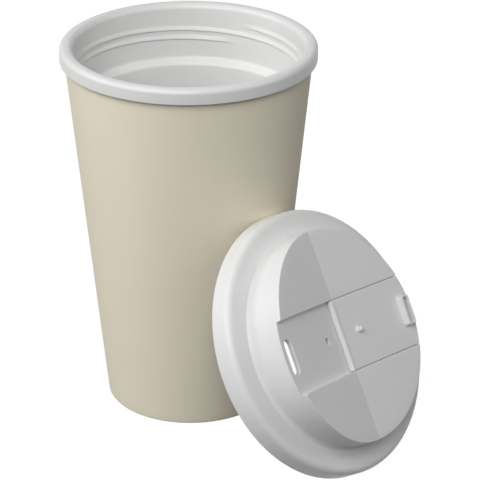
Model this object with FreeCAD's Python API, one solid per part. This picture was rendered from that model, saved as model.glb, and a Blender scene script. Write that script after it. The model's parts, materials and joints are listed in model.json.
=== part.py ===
"""Insulated travel cup: double-walled tapered cup with a threaded mouth, and its screw lid leaning on it.

Millimetres, +Z up. The cup's axis is Z and the origin is the centre of its foot, on the surface it stands on.
The lid is modelled in a frame of its own (its axis is Z, its skirt starts at Z 0, the valley fold runs along
Y, the drinking slot is on -X and the flap folds open to +X) and is then leaned against the cup.
"""
import FreeCAD, Part
import math
import os

from FreeCAD import Matrix, Placement, Rotation, Vector

# ---------------------------------------------------------------- cup: outer shell
foot_radius = 30.4          # outer radius of the shell at the foot
shell_wall = 1.4
foot_rounding = 0.8
foot_ring_width = 3.6       # width of the flat ring that the cup stands on
foot_recess = 1.4           # depth of the hollow inside the foot ring
shell_floor = 1.8

# ---------------------------------------------------------------- cup: inner liner
cup_height = 134.3          # top of the rim
rim_radius = 45.0           # outer radius of the rolled rim
rim_width = 4.8             # radial width of the rolled rim
rim_depth = 5.3             # height of the rim's outer band, rounding included
rim_lip = 1.38              # wall of the band that hangs over the shell
rim_cover = 2.9             # from the top of the rim down to the shell's edge inside it
liner_wall = 1.2
shell_seam = 0.12           # clearance between the liner's rim and the shell's edge
mouth_depth = 19.9          # from the top of the rim to the shoulder
mouth_draft = 1.45          # how much narrower the mouth is at the shoulder than at the rim
shoulder_step = 2.2         # how far the shoulder steps in, and how far it drops
air_gap = 2.04              # between the shell and the liner, at the liner's floor
liner_floor_height = 7.6    # inside floor above the foot
liner_floor_rounding = 6.0
edge_rounding = 0.5         # small moulded edges

# ---------------------------------------------------------------- thread between cup and lid
thread_starts = 2
thread_pitch = 3.3          # from one rib to the next
thread_rib = 0.6            # how far a rib stands out of its wall
rib_crest = 0.4             # width of a rib's crest
rib_flank = 1.5             # height of a rib's long, gentle flank
rib_root = 0.3              # how deep a rib is rooted in its wall
cup_thread_depth = 14.0     # from the top of the rim to the lowest rib
cup_thread_turns = 1.0
cup_thread_azimuth = 62.0   # where the first rib of the cup starts
lid_thread_turns = 0.45
lid_thread_azimuth = 0.0    # where the first rib of the lid starts, from its X axis

# ---------------------------------------------------------------- lid: body
skirt_wall = 1.6            # at the open edge of the skirt
skirt_draft = 0.3           # how much narrower the skirt is at its top
ledge_height = 7.9
shoulder_rounding = 2.4     # rounding between skirt and ledge
tower_inset = 0.46          # how far the tower's wall stands in from the threaded ring's outside
tower_flare_width = 0.9     # flared foot of the tower, outwards
tower_flare_height = 2.3    # and upwards
lid_wall = 1.5
rim_clearance = 0.4         # between the rim of the cup and the skirt
plug_ring_wall = 1.6        # wall of the threaded ring that enters the cup
plug_ring_depth = 5.0       # how far that ring reaches below the skirt
thread_clearance = 0.3      # between the ribs of one part and the wall of the other

# ---------------------------------------------------------------- lid: valley top and flap channel
fold_height = 15.3          # the valley's fold above the skirt's edge
drink_slope = 12.8          # rise of the drinking side, degrees
rest_slope = 1.0            # rise of the side that the open flap lies on, degrees
channel_width = 25.5
channel_depth = 2.05
channel_floor = 1.5
channel_cove = 0.5          # rounding between the channel's floor and its sides, on the drinking side

# ---------------------------------------------------------------- flap
flap_gap = 0.1              # between the flap and the channel's floor, and below the lid's surface
flap_side_gap = 0.15
flap_end_gap = 0.05
flap_edge_rounding = 0.4    # along its sides and its free end
barrel_radius = 1.1         # rounded hinge edge, which runs in a hollow of the channel's floor
barrel_gap = 0.05
trunnion_radius = 0.6
trunnion_length = 1.0
trunnion_clearance = 0.05
stopper_inset = 4.175       # from the tower's wall in to the middle of the slot's stopper
stopper_width = 3.75
stopper_length = 10.4
stopper_height = 2.4
stopper_near_wall = 1.05    # on the side of the hinge
stopper_far_wall = 0.6
stopper_end_wall = 0.8
pocket_floor = 0.4          # thickness left over the flap at the bottom of the stopper's pocket
stopper_rounding = 0.8      # of its upright corners
foot_fillet = 0.55          # where stopper and nub rise from the flap
slot_near_clearance = 0.15  # between slot and closed stopper, on the side of the hinge
slot_far_clearance = 0.45   # the same on the far side, where the stopper swings in
slot_end_clearance = 1.0    # the same at the slot's round ends
slot_chamfer = 0.25
nub_distance = 8.3          # from the hinge axis to the vent and to the nub that closes it
nub_radius = 1.0
nub_height = 1.9
nub_rounding = 0.8
vent_clearance = 0.3        # between nub and vent
vent_chamfer = 0.15

# ---------------------------------------------------------------- lid: seal
seal_thickness = 1.2
seal_clearance = 0.05

# ---------------------------------------------------------------- how the lid leans
lean_elevation = 30.9       # its axis above the horizontal, degrees
lean_azimuth = -39.4        # where its axis points, seen from above
lean_spin = -6.6            # turn of the lid about its own axis
lean_bearing = -48.0        # where the lid stands round the cup
lean_clearance = 0.15       # between the skirt's edge and the shell

# ---------------------------------------------------------------- sizes that follow from these
shell_mouth_radius = rim_radius - rim_lip - shell_seam      # outer radius of the shell at its edge
shell_height = cup_height - rim_cover
shell_slope = (shell_mouth_radius - foot_radius) / shell_height
mouth_radius = rim_radius - rim_width
shoulder_height = cup_height - mouth_depth
shoulder_radius = mouth_radius - mouth_draft                # inside radius at the top of the shoulder
mouth_slope = mouth_draft / mouth_depth
liner_floor_radius = (
    foot_radius + shell_slope * (liner_floor_height - liner_wall)
    - shell_wall - air_gap - liner_wall
)
skirt_radius = rim_radius + rim_clearance + skirt_wall      # outer radius at the skirt's open edge
plug_ring_radius = (
    mouth_radius - mouth_slope * (ledge_height + plug_ring_depth)
    - 2 * thread_clearance - thread_rib
)
tower_radius = plug_ring_radius - tower_inset
crease_radius = tower_radius + tower_flare_width            # where the ledge meets the flared foot
lid_hollow_radius = tower_radius - lid_wall
seat_height = ledge_height - lid_wall
flap_thickness = channel_depth - 2 * flap_gap
stopper_distance = tower_radius - stopper_inset             # from the hinge axis
slot_width = stopper_width + slot_near_clearance + slot_far_clearance
slot_length = stopper_length + 2 * slot_end_clearance
slot_distance = stopper_distance + (slot_far_clearance - slot_near_clearance) / 2
floor_cutter = channel_depth / 2 + channel_floor + lid_wall     # reach of what is cut through the floor
far = 4 * rim_radius        # beyond everything


# ---------------------------------------------------------------- drawing helpers
def section_face(corners):
    """Face in the XZ plane. Each corner is (x, z, rounding) and, where the edge that arrives there is an
    arc, a fourth item (x, z) that the arc passes through."""
    joints = []
    for i, corner in enumerate(corners):
        here = Vector(corner[0], 0, corner[1])
        if corner[2] == 0:
            joints.append((here, None, here))
            continue
        before = corners[i - 1]
        after = corners[(i + 1) % len(corners)]
        back = (Vector(before[0], 0, before[1]) - here).normalize()
        ahead = (Vector(after[0], 0, after[1]) - here).normalize()
        half_angle = back.getAngle(ahead) / 2
        reach = corner[2] / math.tan(half_angle)
        inward = (back + ahead).normalize()
        middle = here + inward * (corner[2] / math.sin(half_angle) - corner[2])
        joints.append((here + back * reach, middle, here + ahead * reach))
    edges = []
    for i, (start, middle, end) in enumerate(joints):
        arrival = joints[i - 1][2]
        if len(corners[i]) > 3:
            through = Vector(corners[i][3][0], 0, corners[i][3][1])
            edges.append(Part.Arc(arrival, through, start).toShape())
        elif arrival.distanceToPoint(start) > 1e-6:
            edges.append(Part.makeLine(arrival, start))
        if middle is not None:
            edges.append(Part.Arc(start, middle, end).toShape())
    return Part.Face(Part.Wire(Part.__sortEdges__(edges)))


def turned(corners):
    """Solid of revolution about Z."""
    return section_face(corners).revolve(Vector(0, 0, 0), Vector(0, 0, 1), 360)


def shell_radius(height):
    """Outer radius of the shell at a height."""
    return foot_radius + shell_slope * height


def tangent_arc_middle(run, rise):
    """Middle of an arc that starts at the origin square to X and ends at (run, -rise), as (x, drop)."""
    radius = (run * run + rise * rise) / (2 * run)
    half = math.asin(rise / radius) / 2
    return radius * (1 - math.cos(half)), radius * math.sin(half)


def thread_ribs(wall_radius, slope, lowest, turns, azimuth, outward):
    """Helical ribs, one for each start, on a wall whose radius grows by slope per unit of height.

    The section has a short lower flank and a long upper one, and is rooted in the wall. outward is 1 for
    ribs on the outside of a wall and -1 for ribs on its inside."""
    lead = thread_starts * thread_pitch
    root = wall_radius - outward * rib_root
    crest = wall_radius + outward * thread_rib
    section = [
        Vector(root, 0, 0),
        Vector(crest, 0, rib_root),
        Vector(crest, 0, rib_root + rib_crest),
        Vector(root, 0, rib_root + rib_crest + rib_flank),
    ]
    profile = Part.makePolygon(section + section[:1])
    ribs = []
    for start in range(thread_starts):
        helix = Part.makeHelix(lead, lead * turns, wall_radius, math.degrees(math.atan(slope)))
        rib = Part.Wire(helix.Edges).makePipeShell([profile], True, True)
        rib.translate(Vector(0, 0, lowest))
        rib.rotate(Vector(0, 0, 0), Vector(0, 0, 1), azimuth + start * 360 / thread_starts)
        ribs.append(rib)
    return ribs


# ---------------------------------------------------------------- cup
def make_outer_shell():
    """Tapered wall with a closed base that stands on a flat ring."""
    floor_top = foot_recess + shell_floor
    ring_inside = foot_radius - foot_ring_width
    return turned([
        (0, foot_recess, 0),
        (ring_inside - edge_rounding, foot_recess, 0),
        (ring_inside, 0, 0),
        (foot_radius, 0, foot_rounding),
        (shell_mouth_radius, shell_height, edge_rounding),
        (shell_mouth_radius - shell_wall, shell_height, edge_rounding),
        (shell_radius(floor_top) - shell_wall, floor_top, foot_recess),
        (0, floor_top, 0),
    ])


def make_inner_liner():
    """Inner cup: closed floor, tapered wall, shoulder, threaded mouth and the rim that caps the shell."""
    step_radius = shoulder_radius - shoulder_step
    step_height = shoulder_height - shoulder_step
    groove_top = shell_height + shell_seam
    lip_height = cup_height - rim_depth
    outside_drop = liner_wall / 2
    liner = turned([
        (0, liner_floor_height, 0),
        (liner_floor_radius, liner_floor_height, liner_floor_rounding),
        (step_radius, step_height, edge_rounding),
        (shoulder_radius, shoulder_height, edge_rounding),
        (mouth_radius, cup_height, 0.99 * rim_width / 2),
        (rim_radius, cup_height, 0.99 * rim_width / 2),
        (rim_radius, lip_height, edge_rounding),
        (shell_radius(lip_height) + shell_seam, lip_height, 0),
        (shell_radius(groove_top) + shell_seam, groove_top, 0),
        (mouth_radius - mouth_slope * (cup_height - groove_top) + liner_wall, groove_top, 0),
        (shoulder_radius + liner_wall, shoulder_height - outside_drop, 0),
        (step_radius + liner_wall, step_height - outside_drop, 0),
        (liner_floor_radius + liner_wall, liner_floor_height - liner_wall, liner_floor_rounding),
        (0, liner_floor_height - liner_wall, 0),
    ])
    lowest = cup_height - cup_thread_depth
    radius = shoulder_radius + mouth_slope * (lowest - shoulder_height)
    ribs = thread_ribs(radius, mouth_slope, lowest, cup_thread_turns, cup_thread_azimuth, -1)
    return liner.fuse(ribs).removeSplitter()


# ---------------------------------------------------------------- lid
def valley_line(depth):
    """The valley's section, depth below its two planes and square to them: far left, fold, far right."""
    left = math.radians(drink_slope)
    right = math.radians(rest_slope)
    fold_x = -depth * (1 / math.cos(left) - 1 / math.cos(right)) / (math.tan(left) + math.tan(right))
    fold_z = fold_height + math.tan(right) * fold_x - depth / math.cos(right)
    return [
        Vector(-far, 0, fold_z + (fold_x + far) * math.tan(left)),
        Vector(fold_x, 0, fold_z),
        Vector(far, 0, fold_z + (far - fold_x) * math.tan(right)),
    ]


def valley_block(depth, half_width, height):
    """Everything between the lowered valley and a level (above it or below it), for |Y| < half_width."""
    line = valley_line(depth)
    corners = line + [Vector(far, 0, height), Vector(-far, 0, height)]
    face = Part.Face(Part.makePolygon(corners + corners[:1]))
    face.translate(Vector(0, -half_width, 0))
    return face.extrude(Vector(0, 2 * half_width, 0))


def hinge_axis_point():
    """Where the flap's hinge axis crosses the lid's XZ plane: midway in the channel's depth."""
    return valley_line(channel_depth / 2)[1]


def drink_side(distance):
    """Placement on the drinking side: its origin lies midway in the channel's depth, at a distance from
    the hinge axis, with X along the slope towards the fold and Z square to it."""
    tilt = Rotation(Vector(0, 1, 0), drink_slope)
    return Placement(hinge_axis_point() + tilt.multVec(Vector(-distance, 0, 0)), tilt)


def make_lid_body():
    """Skirt, rounded shoulder, ledge and valley-topped tower, with the threaded ring below."""
    flare = crease_radius - tower_radius
    middle_x, middle_drop = tangent_arc_middle(flare, tower_flare_height)
    tower_foot = ledge_height + tower_flare_height
    outside = turned([
        (0, 0, 0),
        (skirt_radius, 0, edge_rounding),
        (skirt_radius - skirt_draft, ledge_height, shoulder_rounding),
        (crease_radius, ledge_height, 0),
        (tower_radius, tower_foot, 0, (tower_radius + middle_x, tower_foot - middle_drop)),
        (tower_radius, far, 0),
        (0, far, 0),
    ])
    outside = outside.cut(valley_block(0, far, 2 * far))

    groove = turned([
        (plug_ring_radius, -1, 0),
        (rim_radius + rim_clearance, -1, 0),
        (rim_radius + rim_clearance, seat_height, edge_rounding),
        (plug_ring_radius, seat_height, edge_rounding),
    ])
    ring = turned([
        (plug_ring_radius - plug_ring_wall, -plug_ring_depth, 0),
        (plug_ring_radius, -plug_ring_depth, edge_rounding),
        (plug_ring_radius, lid_wall, 0),
        (plug_ring_radius - plug_ring_wall, lid_wall, 0),
    ])
    lowest = edge_rounding - plug_ring_depth
    ribs = thread_ribs(plug_ring_radius, 0, lowest, lid_thread_turns, lid_thread_azimuth, 1)

    hollow = turned([
        (0, -far, 0),
        (plug_ring_radius - plug_ring_wall, -far, 0),
        (plug_ring_radius - plug_ring_wall, seat_height, 0),
        (lid_hollow_radius, ledge_height, 0),
        (lid_hollow_radius, far, 0),
        (0, far, 0),
    ])
    trough_half_width = channel_width / 2 + lid_wall
    under_plates = valley_block(lid_wall, far, -2 * far)
    trough = valley_block(0, trough_half_width, 2 * far).fuse(
        valley_block(channel_depth + channel_floor, trough_half_width, 2 * far)
    )
    hollow = hollow.common(under_plates).cut(trough)

    body = outside.cut(groove).fuse([ring] + ribs).cut(hollow)
    openings = [channel(), drinking_slot(), vent_hole(), barrel_hollow()]
    return body.cut(openings + trunnion_sockets()).removeSplitter()


def channel():
    """The flap's channel across the tower, as a cutter: square on the flap's resting side and with round
    lower edges on the drinking side."""
    half_width = channel_width / 2
    fold = hinge_axis_point()
    resting = Part.makeBox(far, channel_width, 2 * far, Vector(fold.x, -half_width, -far))
    resting = resting.common(valley_block(channel_depth, half_width, 2 * far))
    drinking = Part.makeBox(
        far, channel_width, far, Vector(-far, -half_width, -channel_depth / 2)
    )
    lower = [
        e for e in drinking.Edges
        if abs(e.tangentAt(e.FirstParameter).x) > 0.9 and e.BoundBox.ZMax < 0
    ]
    drinking = drinking.makeFillet(channel_cove, lower)
    drinking.Placement = drink_side(0)
    return resting.fuse(drinking)


def drinking_slot():
    """Round-ended slot through the channel's floor, as a cutter."""
    through = Part.Face(slot_outline(0, -floor_cutter)).extrude(Vector(0, 0, floor_cutter))
    surface = -channel_depth / 2
    chamfer = Part.makeLoft(
        [slot_outline(0, surface - slot_chamfer), slot_outline(2 * slot_chamfer, surface + slot_chamfer)],
        True, True,
    )
    slot = through.fuse(chamfer)
    slot.Placement = drink_side(slot_distance)
    return slot


def slot_outline(grown, height):
    """The slot's round-ended outline at a height, grown all round by a distance."""
    radius = slot_width / 2 + grown
    straight = (slot_length - slot_width) / 2
    lower = [Vector(radius, -straight, height), Vector(0, -straight - radius, height)]
    upper = [Vector(-radius, straight, height), Vector(0, straight + radius, height)]
    corners = [Vector(-radius, -straight, height), Vector(radius, straight, height)]
    return Part.Wire([
        Part.Arc(corners[0], lower[1], lower[0]).toShape(),
        Part.makeLine(lower[0], corners[1]),
        Part.Arc(corners[1], upper[1], upper[0]).toShape(),
        Part.makeLine(upper[0], corners[0]),
    ])


def vent_hole():
    """Round hole through the channel's floor, as a cutter."""
    radius = nub_radius + vent_clearance
    hole = Part.makeCylinder(radius, floor_cutter, Vector(0, 0, -floor_cutter))
    foot = Vector(0, 0, -channel_depth / 2 - vent_chamfer)
    hole = hole.fuse(Part.makeCone(radius, radius + 2 * vent_chamfer, 2 * vent_chamfer, foot))
    hole.Placement = drink_side(nub_distance)
    return hole


def barrel_hollow():
    """Round hollow across the channel's floor that the flap's hinge edge turns in, as a cutter."""
    start = hinge_axis_point() - Vector(0, channel_width / 2, 0)
    return Part.makeCylinder(barrel_radius + barrel_gap, channel_width, start, Vector(0, 1, 0))


def trunnion_sockets():
    """Blind holes in the channel's side walls that hold the flap's trunnions, as cutters."""
    point = hinge_axis_point()
    reach = channel_width / 2 - flap_side_gap + trunnion_length + trunnion_clearance
    radius = trunnion_radius + trunnion_clearance
    return [
        Part.makeCylinder(radius, reach, point, Vector(0, side, 0))
        for side in (-1, 1)
    ]


def make_lid_seal():
    """Flat silicone ring at the top of the skirt's groove: it bears on the cup's rim."""
    inside = plug_ring_radius + seal_clearance
    outside = rim_radius + rim_clearance - edge_rounding - seal_clearance
    top = seat_height - seal_clearance
    return turned([
        (inside, top - seal_thickness, 0),
        (outside, top - seal_thickness, 0),
        (outside, top, 0),
        (inside + edge_rounding, top, 0),
        (inside, top - edge_rounding, 0),
    ])


def make_drink_flap():
    """Flap folded open: plate with a rounded hinge edge and trunnions, slot stopper and vent nub.

    It is drawn flat, with the hinge axis on Y and the plate towards +X, and then laid in the channel."""
    half = flap_thickness / 2
    half_width = channel_width / 2 - flap_side_gap
    opened = Placement(hinge_axis_point(), Rotation(Vector(0, 1, 0), -rest_slope))
    along = Vector(0, 1, 0)

    plate = Part.makeBox(far, 2 * half_width, flap_thickness, Vector(0, -half_width, -half))
    outline = Part.makeCylinder(tower_radius - flap_end_gap, 2 * far, Vector(0, 0, -far))
    outline.Placement = opened.inverse()
    plate = plate.common(outline)
    top_edges = [e for e in plate.Edges if e.BoundBox.ZMin > half - 1e-4 and e.BoundBox.XMax > 0.1]
    plate = plate.makeFillet(flap_edge_rounding, top_edges)

    stopper = Part.makeBox(
        stopper_width, stopper_length, half + stopper_height,
        Vector(stopper_distance - stopper_width / 2, -stopper_length / 2, 0),
    )
    upright = [e for e in stopper.Edges if abs(e.tangentAt(e.FirstParameter).z) > 0.9]
    stopper = stopper.makeFillet(stopper_rounding, upright)
    nub = Part.makeCylinder(nub_radius, half + nub_height, Vector(nub_distance, 0, 0))
    top_rim = [e for e in nub.Edges if e.BoundBox.ZMin > half]
    nub = nub.makeFillet(nub_rounding, top_rim)
    raised = plate.fuse([stopper, nub]).removeSplitter()
    feet = [
        e for e in raised.Edges
        if abs(e.BoundBox.ZMin - half) < 1e-3 and abs(e.BoundBox.ZMax - half) < 1e-3
        and max(abs(e.BoundBox.YMin), abs(e.BoundBox.YMax)) < stopper_length / 2 + 0.1
        and e.BoundBox.XMin > nub_distance / 2
    ]
    raised = raised.makeFillet(foot_fillet, feet)

    pocket = Part.makeBox(
        stopper_width - stopper_near_wall - stopper_far_wall,
        stopper_length - 2 * stopper_end_wall,
        stopper_height,
        Vector(stopper_distance - stopper_width / 2 + stopper_near_wall,
               stopper_end_wall - stopper_length / 2, half + pocket_floor),
    )
    barrel = Part.makeCylinder(barrel_radius, 2 * half_width, Vector(0, -half_width, 0), along)
    reach = half_width + trunnion_length
    pin = Part.makeCylinder(trunnion_radius, 2 * reach, Vector(0, -reach, 0), along)
    flap = raised.cut(pocket).fuse([barrel, pin]).removeSplitter()
    flap.Placement = opened
    return flap


# ---------------------------------------------------------------- the leaning lid
def leaning_placement():
    """Placement of the lid: its skirt's edge rests on the floor and lies against the shell."""
    elevation = math.radians(lean_elevation)
    azimuth = math.radians(lean_azimuth)
    spin = math.radians(lean_spin)
    axis = Vector(
        math.cos(elevation) * math.cos(azimuth),
        math.cos(elevation) * math.sin(azimuth),
        math.sin(elevation),
    )
    uphill = (Vector(0, 0, 1) - axis * axis.z).normalize()
    level = uphill.cross(axis)
    lid_x = level * math.cos(spin) + uphill * math.sin(spin)
    lid_y = axis.cross(lid_x)
    turn = Matrix(
        lid_x.x, lid_y.x, axis.x, 0,
        lid_x.y, lid_y.y, axis.y, 0,
        lid_x.z, lid_y.z, axis.z, 0,
        0, 0, 0, 1,
    )
    rotation = Placement(turn).Rotation

    # the skirt's rounded outer edge, as the circle that its rounding is centred on
    circle = [
        rotation.multVec(Vector(
            (skirt_radius - edge_rounding) * math.cos(angle),
            (skirt_radius - edge_rounding) * math.sin(angle),
            edge_rounding,
        ))
        for angle in (math.radians(degree) for degree in range(360))
    ]
    rise = edge_rounding - min(point.z for point in circle)
    bearing = math.radians(lean_bearing)

    def gap(distance):
        """Distance from the skirt's edge to the shell, with the lid this far from the cup's axis."""
        base = Vector(distance * math.cos(bearing), distance * math.sin(bearing), rise)
        points = [base + point for point in circle]
        clear = [math.hypot(p.x, p.y) - shell_radius(p.z) for p in points if p.z < shell_height]
        return min(clear) / math.hypot(1, shell_slope) - edge_rounding

    near = 0
    away = 4 * skirt_radius
    for _ in range(60):
        middle = (near + away) / 2
        if gap(middle) < lean_clearance:
            near = middle
        else:
            away = middle
    base = Vector(away * math.cos(bearing), away * math.sin(bearing), rise)
    return Placement(base, rotation)


def placed(shape, placement):
    """A copy of a shape, moved by a placement."""
    copy = shape.copy()
    copy.Placement = placement.multiply(copy.Placement)
    return copy


def main():
    """Build every piece and write one STEP file for each."""
    leaning = leaning_placement()
    pieces = {
        "outer_shell": make_outer_shell(),
        "inner_liner": make_inner_liner(),
        "lid_body": placed(make_lid_body(), leaning),
        "lid_seal": placed(make_lid_seal(), leaning),
        "drink_flap": placed(make_drink_flap(), leaning),
    }
    os.makedirs("parts", exist_ok=True)
    for name, shape in pieces.items():
        solid = shape.Solids[0] if len(shape.Solids) == 1 else shape
        box = solid.BoundBox
        print(f"{name}: {len(shape.Solids)} solid, {solid.Volume / 1000:.2f} cm3, valid {solid.isValid()}")
        print("  from", [round(v, 2) for v in (box.XMin, box.YMin, box.ZMin)])
        print("  to", [round(v, 2) for v in (box.XMax, box.YMax, box.ZMax)])
        solid.exportStep(f"parts/{name}.step")
    hinge = leaning.multVec(hinge_axis_point())
    direction = leaning.Rotation.multVec(Vector(0, -1, 0))
    print("hinge at", [round(c / 1000, 6) for c in hinge])
    print("axis", [round(c, 6) for c in direction])
    print("closes at", round(180 - drink_slope - rest_slope, 3), "degrees")
    print("lid base", leaning.Base, "lid axis", leaning.Rotation.multVec(Vector(0, 0, 1)))


main()
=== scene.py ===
"""Looks of an insulated travel cup with its screw lid leaning on it.

Metres, +Z up, and the cup's axis is Z. The pieces are worked out in millimetres: the cup's in place, the
lid's in a frame of its own (its axis is Z, its skirt starts at Z 0, the valley fold runs along Y, the drinking
slot is on -X and the flap folds open to +X), which is then leaned against the cup.
"""

import json
import math

import bmesh
import bpy
import numpy as np
from mathutils import Matrix, Vector


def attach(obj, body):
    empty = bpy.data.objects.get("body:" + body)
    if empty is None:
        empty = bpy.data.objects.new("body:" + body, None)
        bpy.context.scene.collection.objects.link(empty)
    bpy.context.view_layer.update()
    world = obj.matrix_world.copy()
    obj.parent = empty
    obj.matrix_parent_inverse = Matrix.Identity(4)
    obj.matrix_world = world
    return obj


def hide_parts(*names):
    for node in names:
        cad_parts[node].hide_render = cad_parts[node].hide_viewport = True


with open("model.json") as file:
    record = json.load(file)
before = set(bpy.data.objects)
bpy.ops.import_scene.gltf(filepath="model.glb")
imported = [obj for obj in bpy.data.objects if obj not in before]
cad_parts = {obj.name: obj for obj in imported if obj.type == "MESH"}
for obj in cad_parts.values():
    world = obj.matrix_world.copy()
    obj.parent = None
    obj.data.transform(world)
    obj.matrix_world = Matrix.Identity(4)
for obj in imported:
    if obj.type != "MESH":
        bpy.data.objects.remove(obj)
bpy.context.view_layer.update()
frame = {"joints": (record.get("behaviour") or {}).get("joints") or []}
MM = 0.001
hair = 0.01                 # millimetres within which two places count as one

# ---------------------------------------------------------------- cup, millimetres
foot_radius = 30.4          # outer radius of the shell at the foot
shell_mouth_radius = 43.5   # and at its top edge
shell_height = 131.4
shell_wall = 1.4
foot_rounding = 0.8
foot_ring_width = 3.6       # flat ring that the cup stands on
foot_ring_rounding = 0.2    # of its inner edges
foot_recess = 1.4
shell_floor = 1.8
cup_height = 134.3
rim_radius = 45.0           # outer radius of the rolled rim
rim_width = 4.8
rim_depth = 5.3
rim_inner_rounding = 2.2
rim_outer_rounding = 1.75
rim_lip_rounding = 0.25
liner_wall = 1.2
shell_seam = 0.12           # between the rim and the shell's edge
groove_rounding = 0.2       # at the mouth of the rim's groove for that edge
mouth_radius = rim_radius - rim_width
mouth_draft = 1.45          # how much narrower the mouth is at the shoulder
shoulder_height = 114.4
shoulder_radius = mouth_radius - mouth_draft
shoulder_step = 2.2
shoulder_turn = 1.8         # rounding of the shoulder's two edges
liner_floor_radius = 26.4
liner_floor_height = 7.6
liner_floor_rounding = 6.0
edge_rounding = 0.5

# ---------------------------------------------------------------- thread between cup and lid
thread_starts = 2
thread_pitch = 3.3
thread_rib = 0.42           # how far a rib stands out of its wall
rib_crest = 0.4
rib_flank = 2.2             # height of a rib's long, gentle flank
rib_root = 0.3
rib_fade = 14.0             # degrees over which a rib runs out at its ends
cup_thread_foot = cup_height - 14.0
cup_thread_turns = 1.0
cup_thread_azimuth = 62.0   # where its first rib starts, degrees
lid_thread_foot = -4.5
lid_thread_top = 1.8        # above it the lid's ring is plain
lid_thread_turns = 0.45
lid_thread_azimuth = 0.0
thread_margin = 0.5         # plain wall below the cup's ribs that is still finely divided
thread_spacing = 0.14       # of the section's points along the ribs

# ---------------------------------------------------------------- lid
skirt_radius = 47.0
skirt_draft = 0.3
ledge_height = 7.9
shoulder_rounding = 2.4
tower_radius = 37.6
tower_flare_width = 0.9
tower_flare_height = 2.3
lid_wall = 1.5
seat_height = ledge_height - lid_wall
skirt_inside = 45.4
skirt_lip_rounding = 0.15   # of the skirt's inner edge
plug_ring_radius = 38.06    # threaded ring that enters the cup
plug_ring_wall = 1.6
plug_ring_depth = 5.0
plug_ring_rounding = 0.4    # of its outer edge
plug_bore_rounding = 0.3    # and of its inner edge
tower_edge_rounding = 0.2   # along the rim of the valley and the channel
seal_thickness = 1.2
seal_clearance = 0.05
seal_rounding = 0.25        # of its lower edges
seal_top_rounding = 0.15
seal_lead = 0.2             # how far its top stands back from the threaded ring

fold_height = 15.3          # the valley's fold above the skirt's edge
drink_slope = math.radians(12.8)
rest_slope = math.radians(1.0)
channel_width = 25.5
channel_depth = 2.05
channel_floor = 1.5
channel_cove = 0.5          # rounding between the channel's floor and its sides, on the drinking side

# places along X that part the channel's floor into stretches
rest_border = 6.0           # between its plain end and the middle
vent_borders = (-4.0, -13.0)    # before and beyond the vent
slot_border = -23.5         # before the slot

# ---------------------------------------------------------------- flap
flap_thickness = 1.85
flap_half_width = 12.6
flap_end_radius = tower_radius - 0.05
flap_side_rounding = 0.2    # of the face along its sides
flap_end_rounding = 0.15    # and at its free end
barrel_radius = 1.1         # rounded hinge edge
barrel_hollow = 1.15        # radius of the hollow in the channel's floor that it turns in
stopper_distance = 33.425   # from the hinge axis
stopper_width = 3.75
stopper_length = 10.4
stopper_height = 2.4
stopper_near_wall = 1.05    # on the side of the hinge
stopper_far_wall = 0.6
stopper_end_wall = 0.6
pocket_floor = 0.4
stopper_rounding = 0.8      # of its upright corners
stopper_edge = 0.2          # rounding of its rim
pocket_rounding = 0.2       # of the pocket's upright corners
least_corner = 0.12         # smallest rounding of a ring's corners
foot_fillet = 0.55          # where stopper and nub rise from the flap
slot_distance = 33.575
slot_width = 4.35
slot_length = 12.4
slot_chamfer = 0.25
nub_distance = 8.3
nub_radius = 1.0
nub_height = 1.9
nub_rounding = 0.8
vent_radius = 1.3
vent_chamfer = 0.15
gap_half_width = 7.0        # of the gaps in the plate's face that stopper and nub fill
nub_gap = (4.0, 12.6)       # where the nub's gap starts and ends, from the hinge edge
stopper_gap = 29.6          # where the stopper's gap starts

# the lid's lean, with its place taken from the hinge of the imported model
lean_elevation = math.radians(30.9)
lean_azimuth = math.radians(-39.4)
hinge = frame["joints"][0]


# ---------------------------------------------------------------- surfaces
def between(start, end, shares):
    """Rows of points from one row to another: start + (end - start) * share, for each share."""
    return start + (end - start) * np.asarray(shares)[:, None, None]


def outline(corners, steps=6, spacing=3.0, closed=True):
    """Points (n, 2) of a section whose corners are (radius, height, rounding, and if wanted the spacing of
    the points up to the next corner).

    A rounding is the arc that touches both sides. With d0 and d1 the unit directions from its centre to its
    ends and w the angle between them, its point at share t is
    centre + rounding * (sin((1 - t) w) d0 + sin(t w) d1) / sin(w). Straight stretches are divided evenly."""
    places = np.array([corner[:2] for corner in corners])
    stretches = []
    for i, corner in enumerate(corners):
        here = places[i]
        finest = corner[3] if len(corner) > 3 else spacing
        if corner[2] == 0:
            stretches.append((here[None], finest))
            continue
        back = places[i - 1] - here
        back = back / np.linalg.norm(back)
        ahead = places[(i + 1) % len(places)] - here
        ahead = ahead / np.linalg.norm(ahead)
        half = math.acos(np.clip(back @ ahead, -1, 1)) / 2
        inward = (back + ahead) / np.linalg.norm(back + ahead)
        centre = here + inward * corner[2] / math.sin(half)
        start = (here + back * corner[2] / math.tan(half) - centre) / corner[2]
        end = (here + ahead * corner[2] / math.tan(half) - centre) / corner[2]
        sweep = math.pi - 2 * half
        t = np.linspace(0, 1, steps + 1)[:, None]
        arc = (np.sin((1 - t) * sweep) * start + np.sin(t * sweep) * end) / math.sin(sweep)
        stretches.append((centre + corner[2] * arc, finest))
    if closed:
        stretches.append((stretches[0][0][:1], spacing))
    points = [stretches[0][0]]
    for (before, finest), (after, _) in zip(stretches[:-1], stretches[1:]):
        length = np.linalg.norm(after[0] - before[-1])
        parts = max(1, math.ceil(length / finest))
        shares = np.linspace(0, 1, parts + 1)[1:-1, None]
        points += [before[-1] + (after[0] - before[-1]) * shares, after]
    return np.concatenate(points)


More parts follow.
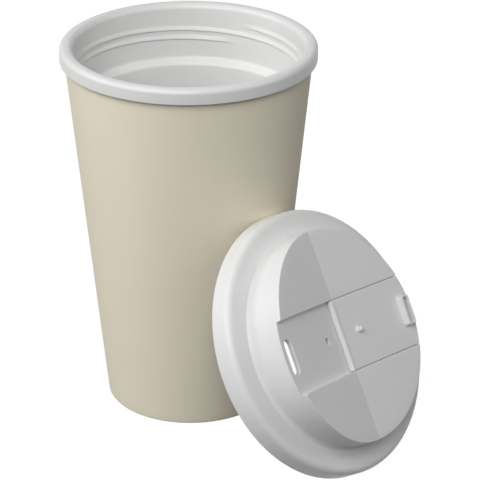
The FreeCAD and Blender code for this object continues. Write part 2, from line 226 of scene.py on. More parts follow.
def turned(section, bearings):
    """Surface of revolution: row i, column j is section point i at bearing j,
    (r cos b, r sin b, z). The radius may also be an array of rows and columns."""
    radius, height = section
    radius = np.broadcast_to(radius, (len(height), len(bearings)))
    height = np.broadcast_to(height, radius.shape)
    return np.stack([radius * np.cos(bearings), radius * np.sin(bearings), height], axis=-1)


def edge_drop(distance, rounding):
    """How far a rounded edge lies below the flat surface, at a distance in from the side:
    r - sqrt(r^2 - (r - d)^2), and nothing further in than r."""
    inside = np.clip(distance, 0, rounding)
    return rounding - np.sqrt(np.maximum(rounding ** 2 - (rounding - inside) ** 2, 0))


def box_reach(angle, half_x, half_y, corner):
    """Distance from the middle of a round-cornered rectangle to its edge at an angle: to a flat side
    min(x / |cos|, y / |sin|), and at a corner m.d + sqrt((m.d)^2 - m.m + r^2) for the corner's centre m."""
    c = np.abs(np.cos(angle))
    s = np.abs(np.sin(angle))
    flat = np.minimum(half_x / np.maximum(c, 1e-9), half_y / np.maximum(s, 1e-9))
    x = half_x - corner
    y = half_y - corner
    along = x * c + y * s
    rounded = along + np.sqrt(np.maximum(along ** 2 - x ** 2 - y ** 2 + corner ** 2, 0))
    return np.where((flat * c > x) & (flat * s > y), rounded, flat)


def thread_rise(bearings, height, foot, turns, azimuth):
    """How far the helical ribs stand out of their wall, over rows of heights and columns of bearings.

    A rib starts at its azimuth and climbs one lead a turn. With w the height above its lower edge, its
    section is min(lower flank, rib, upper flank), straight lines in w, times a smooth fade at both ends."""
    rise = np.zeros((len(height), len(bearings)))
    for start in range(thread_starts):
        degrees = np.degrees(bearings) - azimuth - start * 360 / thread_starts
        share = (degrees % 360) / 360
        above = height[:, None] - foot - thread_starts * thread_pitch * share
        lower = above / rib_root * (thread_rib + rib_root) - rib_root
        upper = thread_rib - (above - rib_root - rib_crest) * (thread_rib + rib_root) / rib_flank
        section = np.clip(np.minimum(lower, upper), 0, thread_rib)
        fade = np.clip(np.minimum(share, turns - share) * 360 / rib_fade, 0, 1)
        rise = np.maximum(rise, section * fade * fade * (3 - 2 * fade))
    return rise


merge_reach = 0.003         # millimetres within which points of two patches are one
crisp_angle = math.radians(32)


def piece(name, patches, node, body, material):
    """One closed mesh from patches of points in millimetres, (rows, columns, 3), with equal points merged and
    edges sharper than the crisp angle kept. It rides on a body and stands for a CAD node, which it hides."""
    faces = []
    first = 0
    for patch in patches:
        index = first + np.arange(patch.shape[0] * patch.shape[1]).reshape(patch.shape[:2])
        quads = np.stack([index[:-1, :-1], index[:-1, 1:], index[1:, 1:], index[1:, :-1]], axis=-1)
        faces.append(quads.reshape(-1, 4))
        first += index.size
    points = np.concatenate([patch.reshape(-1, 3) for patch in patches]) * MM
    mesh = bpy.data.meshes.new(name)
    mesh.from_pydata(points.tolist(), [], np.concatenate(faces).tolist())
    work = bmesh.new()
    work.from_mesh(mesh)
    bmesh.ops.remove_doubles(work, verts=work.verts, dist=merge_reach * MM)
    bmesh.ops.delete(work, geom=[edge for edge in work.edges if not edge.link_faces], context="EDGES")
    bmesh.ops.delete(work, geom=[vert for vert in work.verts if not vert.link_faces], context="VERTS")
    bmesh.ops.recalc_face_normals(work, faces=work.faces)
    work.to_mesh(mesh)
    work.free()
    mesh.shade_smooth()
    mesh.set_sharp_from_angle(angle=crisp_angle)
    mesh.materials.append(material)
    item = bpy.data.objects.new(name, mesh)
    bpy.context.scene.collection.objects.link(item)
    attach(item, body)
    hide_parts(node)


# ---------------------------------------------------------------- cup
def shell_radius(height):
    """Outer radius of the shell at a height."""
    return foot_radius + (shell_mouth_radius - foot_radius) * height / shell_height


def shell_patches():
    """Tapered wall with a closed base on a flat foot ring, as one turned section."""
    floor_top = foot_recess + shell_floor
    ring_inside = foot_radius - foot_ring_width
    section = outline([
        (0, foot_recess, 0),
        (ring_inside - edge_rounding, foot_recess, foot_ring_rounding),
        (ring_inside, 0, foot_ring_rounding),
        (foot_radius, 0, foot_rounding),
        (shell_mouth_radius, shell_height, edge_rounding),
        (shell_mouth_radius - shell_wall, shell_height, edge_rounding),
        (shell_radius(floor_top) - shell_wall, floor_top, foot_recess),
        (0, floor_top, 0),
    ])
    bearings = np.linspace(0, 2 * math.pi, 361)
    return [turned((section[:, :1], section[:, 1:]), bearings)]


def liner_patches():
    """Inner cup with a rounded floor, shoulder, threaded mouth and the rolled rim that caps the shell."""
    slope = mouth_draft / (cup_height - shoulder_height)
    step_radius = shoulder_radius - shoulder_step
    step_height = shoulder_height - shoulder_step
    groove_top = shell_height + shell_seam
    lip_height = cup_height - rim_depth
    thread_low = cup_thread_foot - thread_margin
    thread_high = cup_thread_foot + thread_starts * thread_pitch + rib_root + rib_crest + rib_flank
    section = outline([
        (0, liner_floor_height, 0),
        (liner_floor_radius, liner_floor_height, liner_floor_rounding),
        (step_radius, step_height, shoulder_turn),
        (shoulder_radius, shoulder_height, shoulder_turn),
        (shoulder_radius + slope * (thread_low - shoulder_height), thread_low, 0, thread_spacing),
        (shoulder_radius + slope * (thread_high - shoulder_height), thread_high, 0),
        (mouth_radius, cup_height, rim_inner_rounding),
        (rim_radius, cup_height, rim_outer_rounding),
        (rim_radius, lip_height, rim_lip_rounding),
        (shell_radius(lip_height) + shell_seam, lip_height, groove_rounding),
        (shell_radius(groove_top) + shell_seam, groove_top, 0),
        (mouth_radius - slope * (cup_height - groove_top) + liner_wall, groove_top, 0),
        (shoulder_radius + liner_wall, shoulder_height - liner_wall / 2, 0),
        (step_radius + liner_wall, step_height - liner_wall / 2, 0),
        (liner_floor_radius + liner_wall, liner_floor_height - liner_wall, liner_floor_rounding),
        (0, liner_floor_height - liner_wall, 0),
    ], steps=10, spacing=4.0)
    bearings = np.linspace(0, 2 * math.pi, 401)
    radius = section[:, :1]
    height = section[:, 1]
    on_wall = np.abs(section[:, 0] - shoulder_radius - slope * (height - shoulder_height)) < hair
    rise = thread_rise(bearings, height, cup_thread_foot, cup_thread_turns, cup_thread_azimuth)
    return [turned((radius - rise * on_wall[:, None], height[:, None]), bearings)]


# ---------------------------------------------------------------- lid: shared columns
def valley_height(x, depth):
    """Height of the valley's two planes, lowered by a depth square to them: the higher of
    fold - x tan(a) - depth / cos(a) and fold + x tan(b) - depth / cos(b)."""
    drink = fold_height - x * math.tan(drink_slope) - depth / math.cos(drink_slope)
    rest = fold_height + x * math.tan(rest_slope) - depth / math.cos(rest_slope)
    return np.maximum(drink, rest)


slope_sum = math.tan(drink_slope) + math.tan(rest_slope)
hinge_x = -channel_depth / 2 * (1 / math.cos(drink_slope) - 1 / math.cos(rest_slope)) / slope_sum
hinge_z = float(valley_height(hinge_x, channel_depth / 2))


def channel_height(x, y):
    """The channel's floor. On the drinking side a cove along each side rises by edge_drop of the distance from
    that side, and the round hollow under the flap's hinge edge is cut through floor and coves alike."""
    cove = edge_drop(half_channel - np.abs(y), channel_cove)
    floor = valley_height(x, channel_depth) + np.where(x < hinge_x - hollow_reach - hair, cove, 0)
    hollow = hinge_z - np.sqrt(np.maximum(barrel_hollow ** 2 - (x - hinge_x) ** 2, 0))
    return np.where(np.abs(x - hinge_x) < barrel_hollow, np.minimum(floor, hollow), floor)


def ceiling_height(x, y):
    """Underside of the channel's floor."""
    return valley_height(x, channel_depth + channel_floor)


half_channel = channel_width / 2
corner_bearing = math.asin(half_channel / tower_radius)     # of the channel's corner on the tower's rim
hollow_reach = math.sqrt(barrel_hollow ** 2 - (channel_depth / 2) ** 2)
END_PARTS = 40              # across the channel, and a few more in the cove at each side
SIDE_PARTS = 76             # along each half of the channel's side
HOLLOW_PARTS = 12

cove_bearing = math.asin((half_channel - channel_cove) / tower_radius)
cove_steps = corner_bearing - (corner_bearing - cove_bearing) * (1 - np.cos(np.linspace(0, math.pi / 2, 6)[:-1]))
end = np.concatenate([-cove_steps, np.linspace(-cove_bearing, cove_bearing, END_PARTS + 1), cove_steps[::-1]])
side_x = np.concatenate([
    half_channel / np.tan(np.linspace(
        corner_bearing, math.atan2(half_channel, hinge_x + hollow_reach), SIDE_PARTS + 1)),
    hinge_x + hollow_reach * np.cos(np.linspace(0, math.pi, HOLLOW_PARTS + 1))[1:-1],
    half_channel / np.tan(np.linspace(
        math.atan2(half_channel, hinge_x - hollow_reach), math.pi - corner_bearing, SIDE_PARTS + 1)),
])
side = np.arctan2(half_channel, side_x)
SIDES = len(side) - 1
bearings = np.concatenate([end, side[1:], end[1:] + math.pi, 2 * math.pi - side[::-1][1:]])
upper = len(end) - 1        # column where the channel's +Y side starts, at +X
total = len(bearings) - 1
across = np.sin(end) / math.sin(corner_bearing)     # places across the channel, -1 to 1


def border(columns, radius, half_width):
    """Where the rays of some columns leave a strip with round ends: min(radius, half width / |sin|)."""
    angle = bearings[columns]
    reach = np.minimum(radius, half_width / np.maximum(np.abs(np.sin(angle)), 1e-9))
    return np.stack([reach * np.cos(angle), reach * np.sin(angle)], axis=-1)


def columns_at(x):
    """The side column nearest to a place along the channel, counted from its +X corner."""
    return int(np.argmin(np.abs(side_x - x)))


def loop(first, last, radius, half_width):
    """Closed border of the strip between two side columns, or from the first round the -X end where last is
    None, or from last round the +X end where first is None."""
    def line(column, sign):
        x = border([upper + column], radius, half_width)[0, 0]
        return np.stack([np.full(len(across), x), sign * across * half_width], axis=-1)[1:]

    if first is None:
        columns = np.r_[total - last:total, 0:upper + last + 1]
        return np.concatenate([border(columns, radius, half_width), line(last, -1)])
    if last is None:
        columns = np.r_[upper + first:total - first + 1]
        return np.concatenate([border(columns, radius, half_width), line(first, 1)])
    there = border(np.r_[upper + first:upper + last + 1], radius, half_width)
    back = border(np.r_[total - last:total - first + 1], radius, half_width)
    return np.concatenate([there, line(last, -1)[:-1], back, line(first, 1)])


def raised(points, height):
    """Points in the plane, lifted to a height that is a function of X and Y."""
    return np.concatenate([points, height(points[..., :1], points[..., 1:])], axis=-1)


def strip(first, last, half_width, height):
    """Plain stretch of the channel's floor or its underside between two side columns."""
    x = half_width / np.tan(bearings[upper + first:upper + last + 1])
    grid = np.stack(np.broadcast_arrays(x[:, None], across * half_width), axis=-1)
    return raised(grid, height)


def round_end(last, radius, half_width, height):
    """Plain +X end of the channel's floor or its underside, drawn in to a point."""
    rim = loop(None, last, radius, half_width)
    middle = rim[:-1].mean(0)
    return raised(between(rim, middle, [0, 0.25, 0.5, 0.75, 1]), height)


def floor_hole(distance, half_x, half_y, rounding, chamfer, first, last):
    """Stretch of the channel's floor with a hole square to it: in from the outer border to the chamfer, down
    through the floor, and out to the underside's border. Each ring point lies on the ray from the hole's
    middle to its border point, at the distance that box_reach gives."""
    cosine = math.cos(drink_slope)
    sine = math.sin(drink_slope)

    def placed(angle, growth, level):
        """Ring of the hole at a level above the hinge axis, square to the drinking side."""
        reach = box_reach(angle, half_x + growth, half_y + growth, rounding + growth)
        p = distance + reach * np.cos(angle)
        return np.stack([
            hinge_x - p * cosine + level * sine,
            reach * np.sin(angle),
            hinge_z + p * sine + level * cosine,
        ], axis=-1)

    top = -channel_depth / 2
    rim = raised(loop(first, last, tower_radius, half_channel), channel_height)
    p = (hinge_x + top * sine - rim[:, 0]) / cosine
    angle = np.arctan2(rim[:, 1], p - distance)
    below = raised(loop(first, last, hollow_radius, half_trough), ceiling_height)
    mouth = placed(angle, chamfer, top)
    waist = placed(angle, 0, top - chamfer)
    foot = placed(angle, 0, top - channel_floor)
    # closely spaced rings over the cove, then wider ones up to the hole's mouth
    inward = between(rim[:, :2], mouth[:, :2], np.r_[np.linspace(0, 0.1, 9), 0.3, 0.5, 0.75])
    return np.concatenate([
        raised(inward, channel_height),
        mouth[None],
        between(mouth, waist, [0.5, 1]),
        between(waist, foot, [0.5, 1]),
        between(foot, below, np.linspace(0, 1, 6)[1:]),
    ])


def valley_side(radius, half_width, plate_depth, floor, foot, rounding):
    """The valley's two plates beside the channel, the channel's sides and the round wall below, seen from
    outside or, with the lid's inner sizes, from inside. On a plate, row t of a column runs along its ray from
    the channel's side to the rim, and both edges are rounded by edge_drop."""
    edge = half_width / np.sin(side)
    skipped = np.count_nonzero(edge >= radius * (1 - 1e-9)) // 2 - 1
    columns = slice(skipped, SIDES + 1 - skipped)
    angle = side[columns]
    near = np.minimum(edge[columns], radius)
    length = radius - near
    start = np.minimum(rounding / np.sin(angle), length / 2)
    stop = np.minimum(rounding, length / 2)
    arc = 1 - np.cos(np.linspace(0, math.pi / 2, 6))[:, None]
    flat = np.linspace(0, 1, 8)[1:-1, None]
    reach = np.concatenate([
        near + start * arc,
        near + start + (length - start - stop) * flat,
        radius - stop * arc[::-1],
    ])
    x = reach * np.cos(angle)
    y = reach * np.sin(angle)
    z = valley_height(x, plate_depth) - edge_drop(radius - reach, rounding) - edge_drop(y - half_width, rounding)
    plate = np.stack([x, y, z], axis=-1)

    channel_foot = raised(plate[0, :, :2], floor)
    wall_foot = raised(plate[-1, :, :2], floor)
    shares = np.linspace(0, 1, 4)
    half = [plate, between(channel_foot, plate[0], shares), between(wall_foot, plate[-1], shares)]
    around = radius * np.stack([np.cos(bearings), np.sin(bearings)], axis=-1)
    wall_top = raised(around, floor)
    wall_start = np.concatenate([around, np.full((len(bearings), 1), foot)], axis=-1)
    wall = between(wall_start, wall_top, np.linspace(0, 1, 6))
    return half + [patch * (1, -1, 1) for patch in half] + [wall]


hollow_radius = tower_radius - lid_wall
half_trough = half_channel + lid_wall


def lid_patches():
    """Skirt, rounded shoulder, ledge and valley-topped tower, hollow inside, with the threaded ring below."""
    rest_edge = columns_at(rest_border)
    vent_near, vent_far = (columns_at(x) for x in vent_borders)
    slot_edge = columns_at(slot_border)
    patches = valley_side(tower_radius, half_channel, 0, channel_height,
                          ledge_height + tower_flare_height, tower_edge_rounding)
    patches += valley_side(hollow_radius, half_trough, lid_wall, ceiling_height, ledge_height, 0)
    patches += [
        floor_hole(slot_distance, slot_width / 2, slot_length / 2, slot_width / 2, slot_chamfer, slot_edge, None),
        floor_hole(nub_distance, vent_radius, vent_radius, vent_radius, vent_chamfer, vent_near, vent_far),
        strip(vent_far, slot_edge, half_channel, channel_height),
        strip(vent_far, slot_edge, half_trough, ceiling_height),
        strip(rest_edge, vent_near, half_channel, channel_height),
        strip(rest_edge, vent_near, half_trough, ceiling_height),
        round_end(rest_edge, tower_radius, half_channel, channel_height),
        round_end(rest_edge, hollow_radius, half_trough, ceiling_height),
    ]

    # flared foot of the tower: an arc that leaves the wall upright and meets the ledge
    flare = (tower_flare_width ** 2 + tower_flare_height ** 2) / (2 * tower_flare_width)
    sweep = np.linspace(0, math.asin(tower_flare_height / flare), 7)
    flare_r = tower_radius + flare * (1 - np.cos(sweep))
    flare_z = ledge_height + tower_flare_height - flare * np.sin(sweep)
    inner = plug_ring_radius - plug_ring_wall
    section = outline([(r, z, 0) for r, z in zip(flare_r, flare_z)] + [
        (skirt_radius - skirt_draft, ledge_height, shoulder_rounding),
        (skirt_radius, 0, edge_rounding),
        (skirt_inside, 0, skirt_lip_rounding),
        (skirt_inside, seat_height, edge_rounding),
        (plug_ring_radius, seat_height, edge_rounding),
        (plug_ring_radius, lid_thread_top, 0, thread_spacing),
        (plug_ring_radius, lid_thread_foot - hair, 0),
        (plug_ring_radius, -plug_ring_depth, plug_ring_rounding),
        (inner, -plug_ring_depth, plug_bore_rounding),
        (inner, seat_height, 0),
        (hollow_radius, ledge_height, 0),
    ], steps=8, spacing=2.5, closed=False)
    height = section[:, 1]
    on_ring = np.abs(section[:, 0] - plug_ring_radius) < hair
    rise = thread_rise(bearings, height, lid_thread_foot, lid_thread_turns, lid_thread_azimuth)
    patches.append(turned((section[:, :1] + rise * on_ring[:, None], height[:, None]), bearings))
    return patches


def seal_patches():
    """Flat ring at the top of the skirt's groove, a turned section."""
    inside = plug_ring_radius + seal_clearance
    outside = skirt_inside - edge_rounding - seal_clearance
    top = seat_height - seal_clearance
    section = outline([
        (inside, top - seal_thickness, seal_rounding),
        (outside, top - seal_thickness, seal_rounding),
        (outside, top, seal_top_rounding),
        (inside + seal_lead, top, seal_top_rounding),
    ], steps=4)
    return [turned((section[:, :1], section[:, 1:]), np.linspace(0, 2 * math.pi, 361))]


# ---------------------------------------------------------------- flap
def flap_patches():
    """Plate with a rounded hinge edge, slot stopper with its pocket, and vent nub, in the lid's frame.

    Flat, the hinge axis is Y and the plate runs to +X. Its face is a grid over the share s along it and the
    place y across it: x = x0(y) + s (x1(y) - x0(y)), from the hinge edge to the round end, with its edges
    lowered by edge_drop. The grid is left out round stopper and nub, whose rings fill the gap."""
    half = flap_thickness / 2
    arc = 1 - np.cos(np.linspace(0, math.pi / 2, 5))

    # rows of the face's grid: before the nub's gap, along it, up to the stopper's gap, along that and beyond
    before_nub, along_nub, before_stopper, along_stopper, beyond = 6, 34, 17, 23, 4
    nub = (before_nub, before_nub + along_nub)
    stopper = (nub[1] + before_stopper, nub[1] + before_stopper + along_stopper)
    y_half = np.concatenate([np.linspace(0, gap_half_width, 29),
                             np.linspace(gap_half_width, flap_half_width - flap_side_rounding, 12)[1:],
                             flap_half_width - flap_side_rounding * arc[::-1][1:]])
    y = np.concatenate([-y_half[::-1][:-1], y_half])
    drop = edge_drop(flap_half_width - np.abs(y), flap_side_rounding)
    start = np.sqrt((barrel_radius - drop) ** 2 - (half - drop) ** 2)

    def face(sign):
        """One of the plate's two faces."""
        level = sign * half
        end_x = (np.sqrt(flap_end_radius ** 2 - y ** 2) + level * math.sin(rest_slope)) / math.cos(rest_slope)
        length = end_x.min()
        share = np.concatenate([
            np.linspace(0, nub_gap[0], before_nub + 1),
            np.linspace(*nub_gap, along_nub + 1)[1:],
            np.linspace(nub_gap[1], stopper_gap, before_stopper + 1)[1:],
            np.linspace(stopper_gap, length - flap_end_rounding, along_stopper + beyond + 1)[1:],
            length - flap_end_rounding * arc[::-1][1:],
        ]) / length
        x = start + share[:, None] * (end_x - start)
        z = half - drop - edge_drop((1 - share[:, None]) * length, flap_end_rounding)
        return np.stack(np.broadcast_arrays(x, y, sign * z), axis=-1)

    top = face(1)
    bottom = face(-1)
    low = int(np.argmin(np.abs(y + gap_half_width)))
    high = int(np.argmin(np.abs(y - gap_half_width)))
    patches = [
        bottom, top[:, :low + 1], top[:, high:],
        top[:nub[0] + 1, low:high + 1], top[nub[1]:stopper[0] + 1, low:high + 1], top[stopper[1]:, low:high + 1],
        between(bottom[-1], top[-1], np.linspace(0, 1, 4)),
    ]

    # hinge edge: a barrel round the hinge axis, closed at its ends by a fan
    join = np.arctan2(half - drop, start)
    turn = join + np.linspace(0, 1, 33)[:, None] * (2 * math.pi - 2 * join)
    radius = barrel_radius - drop
    barrel = np.stack(np.broadcast_arrays(radius * np.cos(turn), y, radius * np.sin(turn)), axis=-1)
    patches.append(barrel)
    for column in (0, -1):
        patches.append(between(bottom[:, column], top[:, column], np.linspace(0, 1, 4)))
        back = between(bottom[None, 0, column], top[None, 0, column], np.linspace(0, 1, 4))[:, 0]
        rim = np.concatenate([barrel[:, column], back[1:]])
        patches.append(between(rim, np.array([-0.1, y[column], 0]), [0, 0.5, 1]))

    def raised_part(block, distance, half_x, half_y, corner, rings):
        """Rings from the gap in the top face to a raised part's middle, each (growth, height, share)."""
        first, last = block
        grid = top[first:last + 1, low:high + 1]
        rim = np.concatenate([grid[:, 0], grid[-1, 1:], grid[::-1, -1][1:], grid[0, ::-1][1:]])
        angle = np.arctan2(rim[:, 1], rim[:, 0] - distance)
        rows = [rim[None]]
        base = None
        for growth, level, share in rings:
            reach = share * box_reach(angle, half_x + growth, half_y + growth, max(corner + growth, least_corner))
            row = np.stack([distance + reach * np.cos(angle), reach * np.sin(angle),
                            np.full(len(angle), half + level)], axis=-1)
            if base is None:
                rows.append(between(rim, row, [0.25, 0.5, 0.75]))
                base = row
            rows.append(row[None])
        return np.concatenate(rows)

    quarter = np.linspace(0, math.pi / 2, 6)
    foot = [(foot_fillet * (1 - math.sin(a)), foot_fillet * (1 - math.cos(a)), 1) for a in quarter]
    dome = [(nub_rounding * (math.cos(a) - 1), nub_height + nub_rounding * (math.sin(a) - 1), 1) for a in quarter]
    nub_rings = foot + dome + [(-nub_rounding, nub_height, 0.5), (-nub_rounding, nub_height, 0)]
    patches.append(raised_part(nub, nub_distance, nub_radius, nub_radius, nub_radius, nub_rings))

    edge = stopper_edge
    rim_out = [(edge * (math.cos(a) - 1), stopper_height + edge * (math.sin(a) - 1), 1) for a in quarter]
    frame_rings = raised_part(stopper, stopper_distance, stopper_width / 2, stopper_length / 2,
                              stopper_rounding, foot + rim_out)

    # the pocket in the stopper: its rings are a smaller rectangle, nearer to the free end
    pocket_x = (stopper_width - stopper_near_wall - stopper_far_wall) / 2
    pocket_y = stopper_length / 2 - stopper_end_wall
    middle = stopper_distance + (stopper_near_wall - stopper_far_wall) / 2
    angle = np.arctan2(frame_rings[-1, :, 1], frame_rings[-1, :, 0] - middle)
    rim_in = [(edge * (1 - math.sin(a)), stopper_height + edge * (math.cos(a) - 1), 1) for a in quarter]
    rows = [frame_rings[-1]]
    for growth, level, share in rim_in + [(0, pocket_floor, 1), (0, pocket_floor, 0.5), (0, pocket_floor, 0)]:
        reach = share * box_reach(angle, pocket_x + growth, pocket_y + growth, pocket_rounding + growth)
        rows.append(np.stack([middle + reach * np.cos(angle), reach * np.sin(angle),
                              np.full(len(angle), half + level)], axis=-1))
    patches += [frame_rings, np.stack(rows)]

    # folded open: turned by the resting slope about the hinge axis
    cosine = math.cos(rest_slope)
    sine = math.sin(rest_slope)
    return [
        np.stack([
            hinge_x + patch[..., 0] * cosine - patch[..., 2] * sine,
            patch[..., 1],
            hinge_z + patch[..., 0] * sine + patch[..., 2] * cosine,
        ], axis=-1)
        for patch in patches
    ]


def leaned(patches):
    """Patches of the lid, moved from its own frame to its lean against the cup. The lid's Y axis is the
    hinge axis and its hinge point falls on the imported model's hinge."""
    axis = np.array([
        math.cos(lean_elevation) * math.cos(lean_azimuth),
        math.cos(lean_elevation) * math.sin(lean_azimuth),
        math.sin(lean_elevation),
    ])
    y_axis = -np.array(hinge["axis"])
    x_axis = np.cross(y_axis, axis)
    turn = np.stack([x_axis, y_axis, axis])
    place = np.array(hinge["pos_m"]) / MM - np.array([hinge_x, 0, hinge_z]) @ turn
    return [patch @ turn + place for patch in patches]


# ---------------------------------------------------------------- materials
flow_size = 26.0            # millimetres across a patch of the moulding's mottling
wear_size = 11.0            # across a patch of wear in the gloss
grain_size = 0.24           # across a grain of the mould's texture: about three times the real one, to show at all
grain_depth = 0.05          # of that texture
wear_polish = 0.04          # how much smoother the most handled patches are
wear_scuff = 0.05           # and how much rougher the most scuffed ones
plastic_ior = 1.49          # polypropylene's, and near enough for silicone
milky_reach = 3.0           # millimetres that light travels inside the silicone


def linear(colour):
    """'#rrggbb' as the linear values that shaders work in."""
    values = [int(colour[i:i + 2], 16) / 255 for i in (1, 3, 5)]
    return [v / 12.92 if v <= 0.04045 else ((v + 0.055) / 1.055) ** 2.4 for v in values] + [1.0]


def add_node(tree, kind, inputs=(), **settings):
    """A shader node with its settings made and its inputs set or linked, given as (socket, value) pairs."""
    node = tree.nodes.new(kind)
    for name, value in settings.items():
        setattr(node, name, value)
    for socket, value in inputs:
        if isinstance(value, bpy.types.NodeSocket):
            tree.links.new(value, node.inputs[socket])
        else:
            node.inputs[socket].default_value = value
    return node


def plastic(name, colour, shade, roughness, grain, bevel, translucency=0.0):
    """Moulded plastic: soft mottling between two colours, a gloss that varies a little from place to place, a
    fine moulded grain in the surface and edges rounded to the bevel in millimetres, all in object space."""
    material = bpy.data.materials.new(name)
    material.use_nodes = True
    tree = material.node_tree
    shader = tree.nodes["Principled BSDF"]
    place = add_node(tree, "ShaderNodeTexCoord").outputs["Object"]

    # flow mottling of the moulding
    flow = add_node(tree, "ShaderNodeTexNoise", [("Vector", place), ("Scale", 1 / (flow_size * MM)), ("Detail", 3.0)])
    spread = add_node(tree, "ShaderNodeMapRange",
                      [("Value", flow.outputs["Fac"]), ("From Min", 0.3), ("From Max", 0.7)])
    blend = add_node(tree, "ShaderNodeMix",
                     [(0, spread.outputs["Result"]), (6, linear(colour)), (7, linear(shade))],
                     data_type="RGBA")
    tree.links.new(blend.outputs[2], shader.inputs["Base Color"])

    # handling wear: the gloss changes gently from patch to patch
    wear = add_node(tree, "ShaderNodeTexNoise", [("Vector", place), ("Scale", 1 / (wear_size * MM)), ("Detail", 4.0)])
    gloss = add_node(tree, "ShaderNodeMapRange",
                     [("Value", wear.outputs["Fac"]), ("From Min", 0.25), ("From Max", 0.75),
                      ("To Min", roughness - wear_polish), ("To Max", roughness + wear_scuff)])
    tree.links.new(gloss.outputs["Result"], shader.inputs["Roughness"])

    # the grain that a spark-eroded mould leaves, over the rounded edges
    rounded = add_node(tree, "ShaderNodeBevel", [("Radius", bevel * MM)], samples=6)
    texture = add_node(tree, "ShaderNodeTexNoise",
                       [("Vector", place), ("Scale", 1 / (grain_size * MM)), ("Detail", 2.0)])
    bump = add_node(tree, "ShaderNodeBump",
                    [("Strength", grain), ("Distance", grain_depth * MM), ("Height", texture.outputs["Fac"]),
                     ("Normal", rounded.outputs["Normal"])])
    tree.links.new(bump.outputs["Normal"], shader.inputs["Normal"])
    shader.inputs["IOR"].default_value = plastic_ior
    if translucency:
        shader.inputs["Subsurface Weight"].default_value = translucency
        shader.inputs["Subsurface Radius"].default_value = (milky_reach * MM,) * 3
        shader.inputs["Subsurface Scale"].default_value = 1.0
    return material


# polypropylene, injection-moulded in a spark-eroded mould: a matte beige that spreads the light evenly and
# keeps only a faint sheen along its edges
beige_shell = plastic("matte_polypropylene_beige", "#f5edd8", "#f3ebd5", 0.73, 0.10, 0.3)

# polypropylene, injection-moulded in a finely ground mould: a satin white with broad, soft highlights on the
# rim, the ribs of the thread and the shoulder
white_liner = plastic("satin_polypropylene_white", "#e6e6e5", "#e3e3e2", 0.38, 0.05, 0.2)

# the same white plastic from the lid's mould, a little duller, so that the valley's planes read as flat tones
white_lid = plastic("satin_polypropylene_white_lid", "#eaeaea", "#e7e7e7", 0.42, 0.05, 0.2)

# the same again from the flap's mould, with less mottling because the piece is small and thin
white_flap = plastic("satin_polypropylene_white_flap", "#eaeaea", "#e8e8e8", 0.42, 0.05, 0.2)

# silicone rubber, pressed in a heated mould: milky and soft-edged, because light sinks in before it comes back
silicone = plastic("translucent_silicone", "#dededb", "#dadad6", 0.45, 0.08, 0.2, 0.3)

piece("shell_wall_and_foot", shell_patches(), "outer_shell", "cup", beige_shell)
piece("liner_with_rim", liner_patches(), "inner_liner", "cup", white_liner)
piece("lid_with_valley", leaned(lid_patches()), "lid_body", "cup", white_lid)
piece("seal_ring", leaned(seal_patches()), "lid_seal", "cup", silicone)
piece("flap_with_stopper", leaned(flap_patches()), "drink_flap", "flap", white_flap)


# ---------------------------------------------------------------- floor, light and camera
def seen_directly(tree):
    """1 for the camera's rays and for those that reach a surface by a reflection or through glass, else 0."""
    path = add_node(tree, "ShaderNodeLightPath")
    seen = add_node(tree, "ShaderNodeMath",
                    [(0, path.outputs["Is Camera Ray"]), (1, path.outputs["Is Glossy Ray"])], operation="MAXIMUM")
    seen = add_node(tree, "ShaderNodeMath",
                    [(0, seen.outputs[0]), (1, path.outputs["Is Transmission Ray"])], operation="MAXIMUM")
    return seen.outputs[0]


floor_half = 3.0            # metres
floor_mesh = bpy.data.meshes.new("floor")
corners = [(x * floor_half, y * floor_half, 0) for x, y in ((-1, -1), (1, -1), (1, 1), (-1, 1))]
floor_mesh.from_pydata(corners, [], [(0, 1, 2, 3)])
floor = bpy.data.objects.new("floor", floor_mesh)
bpy.context.scene.collection.objects.link(floor)
paper = bpy.data.materials.new("pale_paper_floor")
paper.use_nodes = True
tree = paper.node_tree
tree.nodes.clear()
# pale paper that reads as white where light falls on it and keeps the object's soft shadow
dull = add_node(tree, "ShaderNodeBsdfDiffuse", [("Color", (0.18, 0.18, 0.18, 1.0))])
place = add_node(tree, "ShaderNodeTexCoord").outputs["Object"]
away = add_node(tree, "ShaderNodeVectorMath", [(0, place)], operation="LENGTH")
level = add_node(tree, "ShaderNodeMapRange", [
    ("Value", away.outputs["Value"]), ("From Min", 0.2), ("From Max", 0.5), ("To Min", 0.95), ("To Max", 1.0)])
glow = add_node(tree, "ShaderNodeEmission", [("Color", (1, 1, 1, 1)), ("Strength", level.outputs["Result"])])
bright = add_node(tree, "ShaderNodeAddShader", [(0, dull.outputs[0]), (1, glow.outputs[0])])
mix = add_node(tree, "ShaderNodeMixShader", [(0, seen_directly(tree)), (1, dull.outputs[0]), (2, bright.outputs[0])])
add_node(tree, "ShaderNodeOutputMaterial", [("Surface", mix.outputs[0])])
floor_mesh.materials.append(paper)

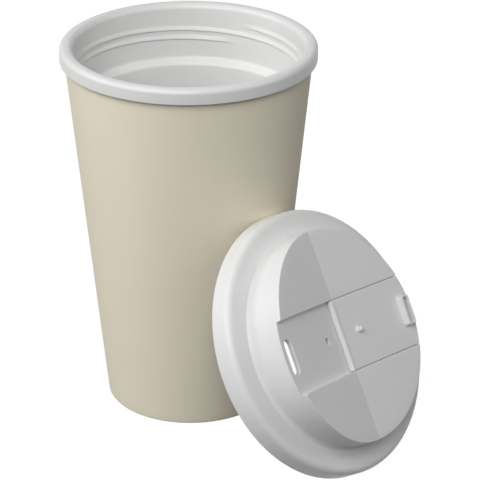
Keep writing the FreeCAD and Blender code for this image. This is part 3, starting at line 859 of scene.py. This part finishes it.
world = bpy.data.worlds.new("studio")
bpy.context.scene.world = world
world.use_nodes = True
tree = world.node_tree
tree.nodes.clear()
soft = add_node(tree, "ShaderNodeBackground", [("Color", (1, 1, 1, 1)), ("Strength", 0.01)])
white = add_node(tree, "ShaderNodeBackground", [("Color", (1, 1, 1, 1)), ("Strength", 1.0)])
mix = add_node(tree, "ShaderNodeMixShader",
               [(0, seen_directly(tree)), (1, soft.outputs[0]), (2, white.outputs[0])])
add_node(tree, "ShaderNodeOutputWorld", [("Surface", mix.outputs[0])])


softbox_size = 0.7          # metres
softbox_distance = 1.2


def softbox(name, bearing, elevation, level, power):
    """A square softbox, aimed at a level on the cup's axis from a bearing (0 is +X, 90 is +Y)."""
    light = bpy.data.lights.new(name, "AREA")
    light.size = softbox_size
    light.energy = power
    b = math.radians(bearing)
    e = math.radians(elevation)
    aim = Vector((math.cos(b) * math.cos(e), math.sin(b) * math.cos(e), math.sin(e)))
    lamp = bpy.data.objects.new(name, light)
    lamp.location = Vector((0, 0, level)) + softbox_distance * aim
    lamp.rotation_euler = aim.to_track_quat("Z", "Y").to_euler()
    bpy.context.scene.collection.objects.link(lamp)


softbox("left", 180, 15, 0.45, 6.7)
softbox("front", 255, 42, 0.07, 8.3)
softbox("front_left", 212, 40, 0.07, 2.55)
softbox("right", 345, 40, 0.07, 2.6)

camera_data = bpy.data.cameras.new("camera")
camera_data.sensor_width = 36.0
camera_data.lens = 180.0
camera_data.clip_start = 0.05
camera = bpy.data.objects.new("camera", camera_data)
tilt = math.radians(25.217)
turn = math.radians(1.312)
roll = math.radians(0.055)
aim_height = 58.565         # millimetres, on the cup's axis
camera_distance = 865.4
forward = Vector((math.sin(turn) * math.cos(tilt), math.cos(turn) * math.cos(tilt), -math.sin(tilt)))
right = Vector((math.cos(turn), -math.sin(turn), 0))
up = right.cross(forward)
right, up = (math.cos(roll) * right + math.sin(roll) * up, math.cos(roll) * up - math.sin(roll) * right)
spot = Vector((0, 0, aim_height * MM)) - camera_distance * MM * Vector((0, math.cos(tilt), -math.sin(tilt)))
camera.matrix_world = Matrix.Translation(spot) @ Matrix((right, up, -forward)).transposed().to_4x4()
bpy.context.scene.collection.objects.link(camera)
bpy.context.scene.camera = camera
bpy.context.scene.view_settings.view_transform = "Standard"
